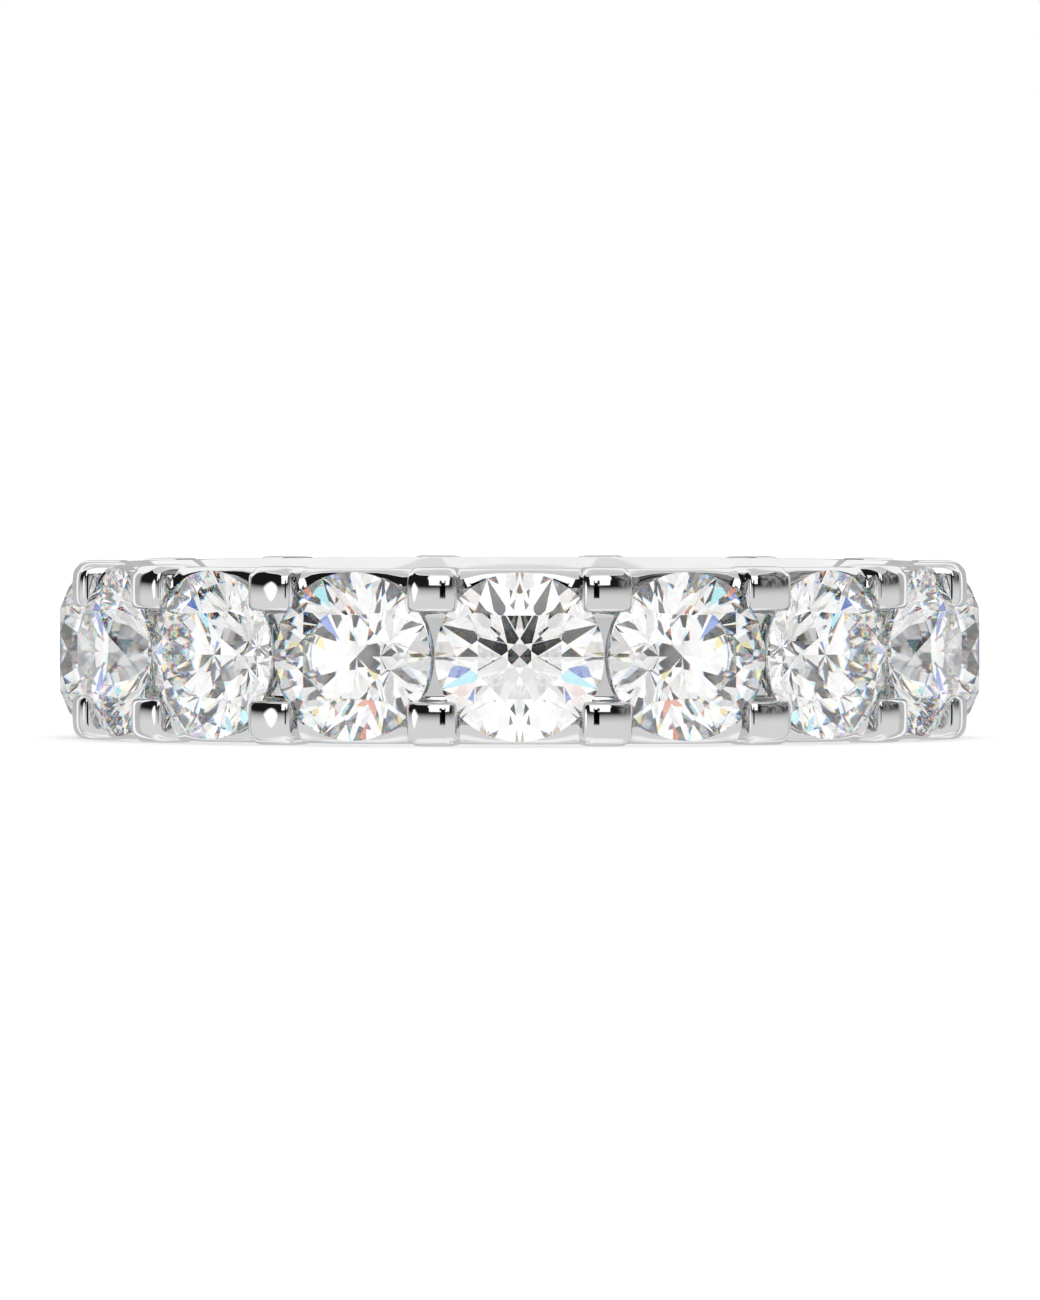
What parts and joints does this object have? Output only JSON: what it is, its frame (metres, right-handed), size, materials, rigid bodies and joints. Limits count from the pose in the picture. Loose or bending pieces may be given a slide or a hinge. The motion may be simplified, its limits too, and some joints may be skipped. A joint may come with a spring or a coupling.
{
  "type": "eternity ring",
  "caption": "Full eternity ring: round brilliants all the way round a narrow band, each held by four small square claws that it shares with its neighbours. Worn on a finger.",
  "frame": {"origin": "middle of the ring, on the surface that its side lies on", "axes": "+Z along the ring's axis, the finger's direction; -Y through the middle of the first stone, the one that faces the viewer"},
  "size_m": [0.0226, 0.0226, 0.0043],
  "materials": {
    "white_gold": "mirror polished, rhodium plated white gold",
    "diamond": "clear colourless stone, polished facets"
  },
  "bodies": {
    "root": {"setting": "white_gold", "stone_01": "diamond", "stone_02": "diamond", "stone_03": "diamond", "stone_04": "diamond", "stone_05": "diamond", "stone_06": "diamond", "stone_07": "diamond", "stone_08": "diamond", "stone_09": "diamond", "stone_10": "diamond", "stone_11": "diamond", "stone_12": "diamond", "stone_13": "diamond", "stone_14": "diamond", "stone_15": "diamond", "stone_16": "diamond"}
  },
  "joints": []
}
